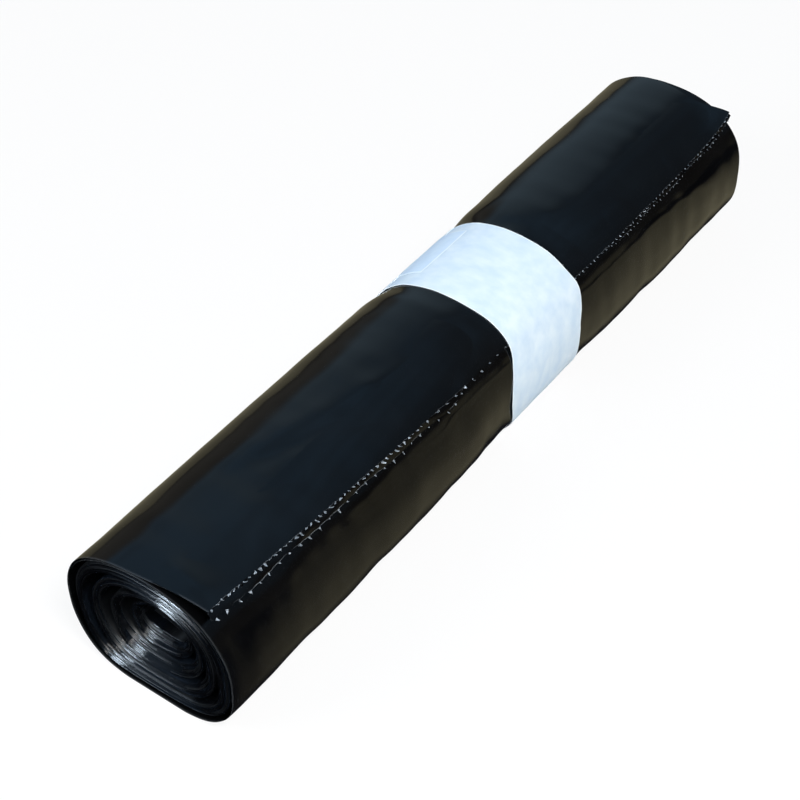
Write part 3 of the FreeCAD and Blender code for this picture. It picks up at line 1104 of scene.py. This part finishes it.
@dataclass
class WoundFilm:
    """The fine turns inside the outermost one, which show at both ends of the roll."""

    form: RollForm
    band: BandPlace
    turns: int = 36
    bundles: int = 4
    points_per_turn: int = 84
    outer_inset: float = 1.9 * MM
    looseness: float = 0.62
    loose_angles: tuple[float, float] = (5.0, 215.0)
    thickness: float = 0.32 * MM
    unevenness: float = 1.1 * MM
    sway_rate: float = 2.7
    ring_sheen_rate: float = 3.1
    ring_sheen_start: float = 40.0
    evenness: float = 0.8
    slide_spare: float = 0.8 * MM
    rim_gap: float = 0.1 * MM
    floor_gap: float = 1.2 * MM
    floor_slope: float = 0.8
    floor_softness: float = 5.0 * MM
    pinch: float = 2.4 * MM
    pinch_reach: float = 42.0 * MM
    pinch_stops: tuple[float, ...] = (-1.6, -0.5, 0.5, 1.6)

    def section(self) -> Array:
        """Outline of the film cut across: rounded rims, and points where the band narrows the roll."""
        half = self.thickness / 2.0
        angles = np.radians([-90.0, -45.0, 0.0, 45.0, 90.0])
        web = self.form.web_width
        far = [(web - half + half * math.cos(a), half * math.sin(a), 0.0) for a in angles]
        near = [(half - half * math.cos(a), -half * math.sin(a), 0.0) for a in angles]
        middle = self.band.middle(self.form) - self.form.near_rim
        stops = [middle + self.pinch_reach * step for step in self.pinch_stops]
        lower = [(x, -half, 0.0) for x in stops]
        upper = [(x, half, 0.0) for x in reversed(stops)]
        return np.array(lower + far + upper + near)

    def build(self, material: Material) -> bpy.types.Object:
        """Makes the turns by their rule."""
        form = self.form
        rule = RuleTree("wound_film")
        turns = rule.number("Turns", self.turns)
        bundles = rule.number("Bundles", self.bundles)
        per_turn = rule.number("Points per Turn", self.points_per_turn, whole=True)
        outer = rule.number("Outer Half Width", form.half_width - self.outer_inset)
        hollow = rule.number("Hollow Half Width", form.hollow_half_width)
        hollow_height = rule.number("Hollow Half Height", form.hollow_half_height)
        top = rule.number("Top Height", form.top_height - self.outer_inset)
        bottom = rule.number("Bottom Height", form.bottom_height - self.outer_inset)
        loose = rule.number("Looseness", self.looseness)
        slide = rule.number("Slide", form.telescope - self.slide_spare)
        uneven = rule.number("Unevenness", self.unevenness)
        even = rule.number("Evenness", self.evenness)
        pinch = rule.number("Pinch", self.pinch)
        reach = rule.number("Pinch Reach", self.pinch_reach)

        turn = rule.rule("GeometryNodeInputIndex") / per_turn
        angle = turn * (-2.0 * math.pi) + math.pi / 2.0
        across = angle.apply("COSINE")
        up = angle.apply("SINE")
        left, right, facing_dent = (
            (angle - math.radians(middle)).apply("COSINE").apply("MAXIMUM", 0.0)
            for middle in (*self.loose_angles, form.dent_angle)
        )
        open_side = (left**2.0 + right**3.0 * 0.5) * loose
        bundle = turn / (turns / bundles)
        whole = (bundle + 0.0001).apply("FLOOR").apply("MINIMUM", self.bundles - 1.0)
        part = bundle - whole
        packed = (part - 0.5) * (open_side * -1.0 + 1.0)
        inward = (whole + 0.5 + packed) / bundles
        width = outer - (outer - hollow) * inward
        outward = (width - hollow) / (outer - hollow)
        width = width * (facing_dent**form.dent_power * -form.dent_share + 1.0)
        above = up.apply("GREATER_THAN", 0.0)
        height = hollow_height + (bottom + (top - bottom) * above - hollow_height) * outward
        squarest = above * (form.top_squareness - form.bottom_squareness) + form.bottom_squareness
        squareness = (squarest - form.inner_squareness) * (outward * outward) + form.inner_squareness
        power = (squareness**-1.0) * 2.0
        y = width * across.signed_power(power) + form.axis_y
        z = height * up.signed_power(power) + form.axis_z
        floor = (outer - width) * self.floor_slope + self.floor_gap
        z = z.apply("SMOOTH_MAX", floor, self.floor_softness)
        stair = whole + part.eased(0.5, 1.0)
        step = (stair + (bundle - stair) * even) / bundles
        wobble = rule.noise(turn * self.sway_rate, 2.0)
        x = step * step * slide + wobble * uneven + (form.near_rim + self.rim_gap)

        line = rule.node("GeometryNodeMeshLine", Count=turns * per_turn + 1.0)
        chain = rule.node("GeometryNodeMeshToCurve", Mesh=line)
        spiral = rule.moved(chain, rule.vector(x, y, z))
        # A number for each turn, which paints a sheen into its edge colour and sets its gloss.
        ring_sheen = rule.noise(turn * self.ring_sheen_rate + self.ring_sheen_start, 3.0)
        marked = rule.node("GeometryNodeStoreNamedAttribute", Geometry=spiral, Name="ring", Value=ring_sheen)
        sided = rule.node("GeometryNodeSetCurveNormal", {"mode": "FREE"}, Curve=marked, Normal=(1, 0, 0))
        section = rule.carrier_curve()
        film = rule.node("GeometryNodeCurveToMesh", Curve=sided, Profile_Curve=section, Fill_Caps=True)

        spot_x, spot_y, spot_z = rule.position()
        aside = (spot_x - self.band.middle(form)) / reach
        share = (pinch / form.half_width) * (aside * aside * -1.0).apply("EXPONENT") * -1.0 + 1.0
        drawn_y = (spot_y - form.axis_y) * share + form.axis_y
        drawn_z = (spot_z - form.axis_z) * share + form.axis_z
        rule.finish(rule.moved(film, rule.vector(spot_x, drawn_y, drawn_z)), material)
        mesh = rule.bake("wound_film", line_mesh("film_section", self.section(), True))
        shade(mesh, 60.0)
        return new_piece("wound_film", mesh, material)


@dataclass
class HollowTails:
    """Loose folds of the innermost film, which hang across the hollow."""

    form: RollForm
    paths: tuple[tuple[tuple[float, float], ...], ...] = (
        ((6.0, 2.4), (2.6, 0.2), (-2.5, 1.6), (-5.6, -1.0)),
        ((5.5, -0.8), (1.5, 2.0), (-1.5, -2.2), (-5.2, 1.8)),
        ((4.5, -2.6), (1.5, -0.2), (-1.5, -3.4), (-5.0, -2.8)),
    )
    set_in: tuple[float, ...] = (10.4 * MM, 11.8 * MM, 12.6 * MM)
    reach: float = 70.0 * MM
    flutter: float = 0.5 * MM
    thickness: float = 0.16 * MM
    rows: int = 28
    columns: int = 10

    def strip(self, path: tuple[tuple[float, float], ...], set_in: float) -> Array:
        """Points on the outer face of a fold.

        Args:
            path: four control points of its curve across the hollow, in millimetres from the axis.
            set_in: how far its rim lies inside the near rim.

        Returns:
            Rows by columns by 3 points.
        """
        share = np.linspace(0.0, 1.0, self.rows)[::-1, None]
        rest = 1.0 - share
        weights = np.hstack([rest**3, 3.0 * share * rest**2, 3.0 * share**2 * rest, share**3])
        line = weights @ np.array(path) * MM
        along = np.linspace(0.0, 1.0, self.columns)
        flutter = self.flutter * np.sin(along[None, :] * 9.0 + share * 4.0) * np.sin(share * math.pi)
        z = self.form.axis_z + line[:, 1:] + flutter
        y = np.broadcast_to(self.form.axis_y + line[:, :1], z.shape)
        x = np.broadcast_to(self.form.near_rim + set_in + along * self.reach, z.shape)
        return np.stack([x, y, z], axis=-1)

    def build(self, material: Material) -> None:
        """Makes one piece for each fold."""
        for number, (path, set_in) in enumerate(zip(self.paths, self.set_in), start=1):
            name = f"hollow_fold_{number}"
            outer = self.strip(path, set_in)
            mesh = shell_mesh(name, outer, along_normals(outer, -self.thickness), outer[..., [1, 0]])
            new_piece(name, mesh, material)


@dataclass
class TornTies:
    """The curled stubs that the torn perforation leaves along an edge."""

    name: str
    pitch: float
    length: float
    width: float
    curl: float
    upper: bool
    start: float
    end: float
    thickness: float = 0.12 * MM
    seed: int = 7
    near_scale: float = 1.25
    far_scale: float = 0.62
    taper: float = 0.75
    cupping: float = 0.5
    shortening: float = 0.45
    cube_points: tuple[int, int, int] = (3, 6, 2)
    tilt_range: tuple[tuple[float, float, float], ...] = ((-0.4, -0.5, -1.1), (0.7, 0.5, 0.7))
    size_range: tuple[tuple[float, float, float], ...] = ((0.6, 0.25, 0.8), (1.3, 1.3, 1.2))

    def carrier(self, line: EdgeLine) -> Mesh:
        """Makes the edge's line with a rotation at each point that lays a stub along it."""
        points, ahead, away = line
        mesh = line_mesh(self.name + "_line", points, False)
        bases = [Matrix((np.cross(*pair), *pair)).transposed() for pair in zip(ahead, away)]
        turns = np.array([list(basis.to_euler("XYZ")) for basis in bases], dtype=np.float32)
        layer = mesh.attributes.new("lie", "FLOAT_VECTOR", "POINT")
        layer.data.foreach_set("vector", turns.ravel())
        along = (points[:, 0] - ROLL_LOW[0]) / (ROLL_HIGH[0] - ROLL_LOW[0])
        shrink = (self.far_scale - self.near_scale) * smooth_step(0.1, 0.6, along)
        store(mesh, "grown", self.near_scale + shrink)
        return mesh

    def drawn(self, rule: RuleTree, bounds: Sequence[Sequence[float]], seed: Rule) -> bpy.types.Node:
        """Draws a random vector between two bounds for each stub."""
        made = rule.node("FunctionNodeRandomValue", {"data_type": "FLOAT_VECTOR"}, Seed=seed)
        for socket, bound in zip(made.inputs, bounds):
            socket.default_value = bound
        return made

    def build(self, line: EdgeLine, material: Material) -> bpy.types.Object:
        """Sets a stub at every pitch along the line.

        Args:
            line: points, directions past the edge and directions away from the roll.
            material: the stubs' finish.

        Returns:
            All the stubs as one piece.
        """
        rule = RuleTree(self.name)
        pitch = rule.number("Pitch", self.pitch)
        length = rule.number("Length", self.length)
        width = rule.number("Width", self.width)
        thick = rule.number("Thickness", self.thickness)
        curl = rule.number("Curl", self.curl)
        seed = rule.number("Seed", self.seed, whole=True)

        block = rule.node("GeometryNodeMeshCube", Size=rule.vector(width, length, thick))
        for axis, count in zip("XYZ", self.cube_points):
            block.inputs["Vertices " + axis].default_value = count
        x, y, z = rule.position()
        along = y / length + 0.5
        narrow = x * (along * -self.taper + 1.0)
        swell = (x / width) * (x / width) * length * self.cupping
        reach = along * length * (along * curl * -self.shortening + 1.0)
        tongue = rule.moved(block, rule.vector(narrow, reach, z + along * along * length * curl - swell))

        spaced = rule.node(
            "GeometryNodeResampleCurve", {"mode": "LENGTH"}, Curve=rule.carrier_curve(), Length=pitch
        )
        lie = rule.node("GeometryNodeInputNamedAttribute", {"data_type": "FLOAT_VECTOR"}, Name="lie")
        turn = rule.node("FunctionNodeEulerToRotation", Euler=lie)
        tilt = rule.node("FunctionNodeEulerToRotation", Euler=self.drawn(rule, self.tilt_range, seed))
        turned = rule.node(
            "FunctionNodeRotateRotation", {"rotation_space": "LOCAL"}, Rotation=turn, Rotate_By=tilt
        )
        size = self.drawn(rule, self.size_range, seed + 1.0)
        grown = rule.node("GeometryNodeInputNamedAttribute", {"data_type": "FLOAT"}, Name="grown")
        scale = rule.node("ShaderNodeVectorMath", {"operation": "SCALE"}, Vector=size, Scale=grown)
        stubs = rule.node(
            "GeometryNodeInstanceOnPoints", Points=spaced, Instance=tongue, Rotation=turned, Scale=scale
        )
        rule.finish(stubs, material)
        mesh = rule.bake(self.name, self.carrier(line))
        shade(mesh, 50.0)
        return new_piece(self.name, mesh, material)


# The band

NEAR_EDGE_SHIFTS = ((130.0, 20.0, 1.3), (174.0, 15.0, -2.6), (216.0, 20.0, 4.0))
FAR_EDGE_SHIFTS = ((150.0, 13.0, 1.3), (173.0, 8.0, -1.2), (206.0, 16.0, 1.5))


@dataclass
class PaperBand:
    """The paper strip with its lap, and the patch of tape over it."""

    form: RollForm
    place: BandPlace
    lap_start: float = 12.0
    lap_end: float = 40.0
    rows: int = 320
    columns: int = 34
    tape_width: float = 32.0 * MM
    tape_shift: float = 1.2 * MM
    tape_start: float = -14.0
    tape_end: float = 63.0
    tape_thickness: float = 0.1 * MM
    tape_rows: int = 70
    tape_ease: float = 3.0
    lap_ease: float = 8.0
    rim_highlight_width: float = 0.5 * MM
    rim_highlight_angle: float = 0.9
    wide_bumps: float = 0.05 * MM
    fine_bumps: float = 0.018 * MM

    def grid(self, angles: Array, across: Array, rise: Array) -> Array:
        """Points on a strip round the roll.

        Args:
            angles: rows, in degrees.
            across: columns, as distances from the strip's centre line.
            rise: rows by columns of heights over the film.

        Returns:
            Rows by columns by 3 points.
        """
        angle = np.broadcast_to(angles[:, None], rise.shape)
        y, z = self.place.line(self.form, angle, rise)
        x = self.place.middle(self.form) + across + self.place.shift(self.form, z)
        low = np.clip(rise - rise.min(), 0.0, self.place.thickness)
        points = np.stack([x, y, np.maximum(z, low)], axis=-1)
        return self.place.squeeze(self.form, points)

    def arc(self, angle: Array) -> Array:
        """Length round the roll up to an angle."""
        return angle * self.form.half_width * math.pi / 180.0

    def relief(self, angle: Array, across: Array) -> Array:
        """Soft bumps where the paper doesn't lie quite flat on the film."""
        wide = SoftNoise(31, (22.0 * MM, 30.0 * MM)).at(across, self.arc(angle))
        fine = SoftNoise(33, (9.0 * MM, 12.0 * MM)).at(across, self.arc(angle))
        return self.wide_bumps * (1.0 + 0.6 * wide) + self.fine_bumps * fine

    def edge_wave(self, angle: Array, shifts: Sequence[Sequence[float]]) -> Array:
        """How far an edge strays from its line, most on the free edge's side."""
        strayed = 0.12 * MM * np.sin(np.radians(angle * 5.0))
        strayed += 0.08 * MM * np.sin(np.radians(angle * 13.0 + 40.0))
        for middle, reach, shift in shifts:
            strayed += shift * MM * bell(np.mod(angle, 360.0) - middle, reach)
        return strayed

    def sheet(
        self, name: str, angles: Array, width: float, rise: Array, thickness: float, shift: float = 0.0
    ) -> Mesh:
        """Makes a closed strip with wavy edges and a highlight painted along its rim.

        Args:
            name: the mesh's name.
            angles: its rows, in degrees.
            width: its width.
            rise: rows by columns of heights over the film.
            thickness: its thickness.
            shift: how far it lies off the band's centre line.

        Returns:
            The mesh.
        """
        share = np.linspace(-0.5, 0.5, self.columns)
        eased = np.sign(share) * 0.5 * (1.0 - (1.0 - 2.0 * np.abs(share)) ** 1.3)
        angle = np.broadcast_to(angles[:, None], (len(angles), self.columns))
        across = np.broadcast_to(eased * width, angle.shape)
        far_wave = self.edge_wave(angle, FAR_EDGE_SHIFTS)
        wave = np.where(across > 0.0, far_wave, self.edge_wave(angle, NEAR_EDGE_SHIFTS))
        waved = across + wave * (2.0 * np.abs(across) / width) ** 2
        bumps = self.relief(angle, across)
        inner = self.grid(angles, waved + shift, rise + bumps)
        outer = self.grid(angles, waved + shift, rise + bumps + thickness)
        mesh = shell_mesh(name, outer, inner, np.stack([across, self.arc(angle)], axis=-1))
        # Share of the painted highlight along the strip's edges and ends.
        rim_highlight = np.clip(1.0 - (width / 2.0 - np.abs(across)) / self.rim_highlight_width, 0.0, 1.0)
        ends = np.minimum(angle - angles[-1], angles[0] - angle)
        rim_highlight = np.maximum(rim_highlight, np.clip(1.0 - ends / self.rim_highlight_angle, 0.0, 1.0))
        store(mesh, "rim_highlight", rim_highlight, faces=2)
        return mesh

    def build_band(self, material: Material) -> bpy.types.Object:
        """Makes the strip, whose outer end lies on its inner end."""
        angles = np.linspace(360.0 + self.lap_end, self.lap_start, self.rows)
        lapped = 360.0 + self.lap_start
        over = smooth_step(lapped - self.lap_ease, lapped, angles)
        rise = np.broadcast_to((over * self.place.thickness)[:, None], (self.rows, self.columns))
        mesh = self.sheet("band", angles, self.place.width, rise, self.place.thickness)
        piece = new_piece("band_paper", mesh, material)
        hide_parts(NODE_BAND)
        return piece

    def build_tape(self, material: Material) -> bpy.types.Object:
        """Makes the patch over the lap."""
        angles = np.linspace(self.tape_end, self.tape_start, self.tape_rows)
        over = smooth_step(self.lap_start - self.tape_ease, self.lap_start, angles)
        over = over * (1.0 - smooth_step(self.lap_end, self.lap_end + self.tape_ease, angles))
        lowest = self.place.thickness * 1.02
        rise = np.broadcast_to((lowest + over * self.place.thickness)[:, None], (len(angles), self.columns))
        mesh = self.sheet("tape", angles, self.tape_width, rise, self.tape_thickness, self.tape_shift)
        piece = new_piece("band_tape", mesh, material)
        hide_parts(NODE_TAPE)
        return piece


# The stage


@dataclass(frozen=True)
class Camera:
    """The photo's viewpoint, from a camera fitted to the roll's outline."""

    place: tuple[float, float, float] = (-454.8 * MM, -302.5 * MM, 521.5 * MM)
    azimuth: float = 54.276
    elevation: float = 43.558
    focal_pixels: float = 1862.6
    image_pixels: float = 800.0
    sensor: float = 36.0

    def build(self) -> None:
        """Adds the camera and makes it the scene's own."""
        data = bpy.data.cameras.new("camera")
        data.sensor_width = self.sensor
        data.lens = self.sensor * self.focal_pixels / self.image_pixels
        data.clip_start = 0.01
        data.clip_end = 20.0
        viewer = bpy.data.objects.new("camera", data)
        turn = math.radians(self.azimuth)
        tilt = math.radians(self.elevation)
        ahead = Vector((math.sin(turn) * math.cos(tilt), math.cos(turn) * math.cos(tilt), -math.sin(tilt)))
        viewer.location = self.place
        viewer.rotation_euler = ahead.to_track_quat("-Z", "Y").to_euler()
        bpy.context.scene.collection.objects.link(viewer)
        bpy.context.scene.camera = viewer


@dataclass(frozen=True)
class Lamp:
    """A soft rectangular lamp that looks at the roll."""

    name: str
    place: tuple[float, float, float]
    size: float
    power: float
    colour: tuple[float, float, float]
    glints: bool = True
    lights: bool = True

    def build(self) -> None:
        """Adds the lamp, which may light surfaces, show in their gloss, or both."""
        data = bpy.data.lights.new(self.name, "AREA")
        data.size = self.size
        data.energy = self.power
        data.color = self.colour
        lamp = bpy.data.objects.new(self.name, data)
        lamp.location = self.place
        lamp.rotation_euler = (-Vector(self.place)).to_track_quat("-Z", "Y").to_euler()
        lamp.visible_glossy = self.glints
        lamp.visible_diffuse = self.lights
        bpy.context.scene.collection.objects.link(lamp)


@dataclass(frozen=True)
class Glow:
    """A soft patch of the sky; starts and full are cosines of the angle from its middle."""

    towards: tuple[float, float, float]
    starts: float
    full: float
    colour: Colour


@dataclass(frozen=True)
class Stage:
    """A pale floor, a dim glowing card for a table that only shows in the film's gloss, lamps and a soft sky.
    """

    floor_colour: Colour = (0.86, 0.86, 0.86, 1.0)
    floor_size: float = 8.0
    white_share: float = 0.9
    table_size: float = 8.4
    table_height: float = 0.2 * MM
    table_colour: Colour = (0.34, 0.31, 0.205, 1.0)
    table_dark: Colour = (0.012, 0.012, 0.016, 1.0)
    table_slant: float = 0.58
    table_from: float = -0.197
    table_to: float = 0.166
    table_blur: float = 0.035
    table_palest: float = 0.10
    front_y: tuple[float, float] = (-0.042, -0.034)
    behind_y: tuple[float, float] = (0.036, 0.046)
    behind_x: tuple[float, float] = (-0.175, -0.150)
    behind_share: float = 0.75
    sky_low: Colour = (0.045, 0.040, 0.034, 1.0)
    sky_high: Colour = (0.167, 0.297, 0.445, 1.0)
    sky_x: tuple[float, float, float] = (0.82, 0.44, 0.2)
    sky_y: tuple[float, float, float] = (-1.15, 0.10, 0.0)
    sky_z: tuple[float, float, float] = (0.27, 0.36, 0.0)
    glows: tuple[Glow, ...] = (
        Glow((0.80, 0.58, 0.42), 0.90, 1.0, (0.25, 0.355, 0.44, 1.0)),
        Glow((-0.80, 0.15, 0.55), 0.60, 0.97, (0.24, 0.38, 0.60, 1.0)),
        Glow((0.45, 0.87, 0.25), 0.955, 0.992, (0.15, 0.14, 0.12, 1.0)),
        Glow((0.60, -0.80, 0.05), 0.990, 0.999, (0.26, 0.235, 0.155, 1.0)),
    )
    lamps: tuple[Lamp, ...] = (
        Lamp("key", (-0.42, -0.56, 0.97), 0.26, 13.2, (1.0, 0.985, 0.96)),
        Lamp("fill", (-0.95, 0.55, 0.75), 0.6, 8.2, (0.96, 0.98, 1.0), glints=False),
        Lamp("spark", (-1.17, 0.13, 0.78), 0.42, 76.0, (0.72, 0.86, 1.0), lights=False),
    )

    def flat(self, name: str, size: float, height: float, material: Material) -> bpy.types.Object:
        """Adds a square plane that isn't part of the object."""
        half = size / 2.0
        corners = [(-half, -half, height), (half, -half, height), (half, half, height), (-half, half, height)]
        mesh = bpy.data.meshes.new(name)
        mesh.from_pydata(corners, [], [(0, 1, 2, 3)])
        mesh.materials.append(material)
        plane = bpy.data.objects.new(name, mesh)
        bpy.context.scene.collection.objects.link(plane)
        return plane

    def build_floor(self) -> None:
        """Adds the floor, which stays white behind the roll and keeps its shadow."""
        bench = ShaderBench("floor")
        path = bench.node("ShaderNodeLightPath")
        seen = Rule(bench, path.outputs["Is Camera Ray"])
        for ray in ("Is Glossy Ray", "Is Transmission Ray"):
            seen = seen.apply("MAXIMUM", path.outputs[ray])
        matt = bench.node("ShaderNodeBsdfDiffuse", Color=self.floor_colour)
        white = bench.node("ShaderNodeEmission", Color=(1.0, 1.0, 1.0, 1.0), Strength=1.0)
        both = bench.node("ShaderNodeMixShader", Fac=seen * self.white_share)
        bench.feed(both.inputs[1], matt)
        bench.feed(both.inputs[2], white)
        self.flat("floor", self.floor_size, 0.0, bench.finish(both))

    def build_table(self) -> None:
        """Adds a glowing card for the table top that the film mirrors low on its sides: a painted reflection
        that only gloss shows.

        On the free edge's side it glows between two slanted lines. On the other side it glows all
        along the roll, except past the near end.
        """
        bench = ShaderBench("table")
        x, y, _ = bench.split(bench.place())
        slanted = x + y * self.table_slant
        start = slanted.spread(self.table_from, self.table_from + self.table_blur)
        end = slanted.spread(self.table_to, self.table_to + self.table_blur, 1.0, 0.0)
        paler = slanted.spread(self.table_from, self.table_palest, 0.45, 1.0)
        front = start * end * paler * y.spread(*self.front_y, 1.0, 0.0)
        behind = y.spread(*self.behind_y, 0.0, self.behind_share) * x.spread(*self.behind_x)
        cloud = bench.noise(bench.place(), scale=9.0, detail=3.0).spread(0.3, 0.7, 0.8, 1.1)
        share = front.apply("MAXIMUM", behind) * cloud
        colour = bench.mix(share, self.table_dark, self.table_colour)
        glow = bench.node("ShaderNodeEmission", Color=colour, Strength=1.0)
        table = self.flat("table", self.table_size, self.table_height, bench.finish(glow))
        table.visible_camera = False
        table.visible_diffuse = False
        table.visible_transmission = False
        table.visible_shadow = False

    def build_sky(self) -> None:
        """Lights the stage: a cool glow behind the roll, dim round the horizon, and a few soft patches."""
        bench = WorldBench("sky")
        where = bench.node("ShaderNodeTexCoord").outputs["Generated"]
        x, y, z = bench.split(where)
        whole = x.eased(*self.sky_x) * y.eased(*self.sky_y) * z.eased(*self.sky_z)
        cloud = bench.noise(where, scale=4.5, detail=3.0).spread(0.35, 0.65, 0.74, 1.12)
        colour = bench.mix(whole * cloud, self.sky_low, self.sky_high)
        gloss = bench.node("ShaderNodeLightPath").outputs["Is Glossy Ray"]
        for glow in self.glows:
            facing = bench.node("ShaderNodeVectorMath", {"operation": "DOT_PRODUCT"})
            bench.feed(facing.inputs[0], where)
            bench.feed(facing.inputs[1], Vector(glow.towards).normalized())
            share = Rule(bench, facing.outputs["Value"]).eased(glow.starts, glow.full)
            colour = bench.mix(share * gloss, colour, glow.colour)
        bench.node("ShaderNodeOutputWorld", Surface=bench.node("ShaderNodeBackground", Color=colour))

    def build(self) -> None:
        """Adds everything round the object."""
        self.build_floor()
        self.build_table()
        self.build_sky()
        for lamp in self.lamps:
            lamp.build()
        bpy.context.scene.view_settings.view_transform = "Standard"


def main() -> None:
    """Builds the stage and every piece of the roll."""
    logging.basicConfig(level=logging.INFO, format="%(name)s %(message)s")
    form = RollForm()
    band = BandPlace()
    Camera().build()
    Stage().build()
    film = FilmFinish().build()
    outer = OuterFilm(form, band, Flap())
    wrap = outer.build_wrap(film)
    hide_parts(NODE_ROLL)
    outer.build_inner_ply(film)
    torn_glint = TornFinish().build()
    start = form.near_rim + 1.5 * MM
    band_near = outer.band_near - 1.5 * MM
    band_far = outer.band_far + 1.0 * MM
    end = form.far_rim - 2.5 * MM
    pitch = outer.tie_pitch
    rows = (
        TornTies("upper_near_ties", pitch / 2.0, 1.4 * MM, 1.1 * MM, 0.45, True, start, -62.0 * MM),
        TornTies("upper_middle_ties", pitch, 1.8 * MM, 1.0 * MM, 0.8, True, -58.0 * MM, band_near, seed=5),
        TornTies("upper_far_ties", pitch / 2.0, 1.6 * MM, 0.8 * MM, 0.7, True, band_far, end, seed=11),
        TornTies("lower_near_ties", pitch, 1.1 * MM, 0.95 * MM, 0.35, False, start, band_near, seed=19),
        TornTies("lower_far_ties", pitch / 2.0, 1.2 * MM, 0.6 * MM, 0.5, False, band_far, end, seed=23),
    )
    for row in rows:
        row.build(outer.edge_line(row.upper, row.start, row.end), torn_glint)
    edges = EdgeFinish().build()
    WoundFilm(form, band).build(edges)
    HollowTails(form).build(edges)
    strip = PaperBand(form, band)
    strip.build_band(BAND_PAPER.build())
    strip.build_tape(TAPE_PAPER.build())


if __name__ == "__main__":
    main()
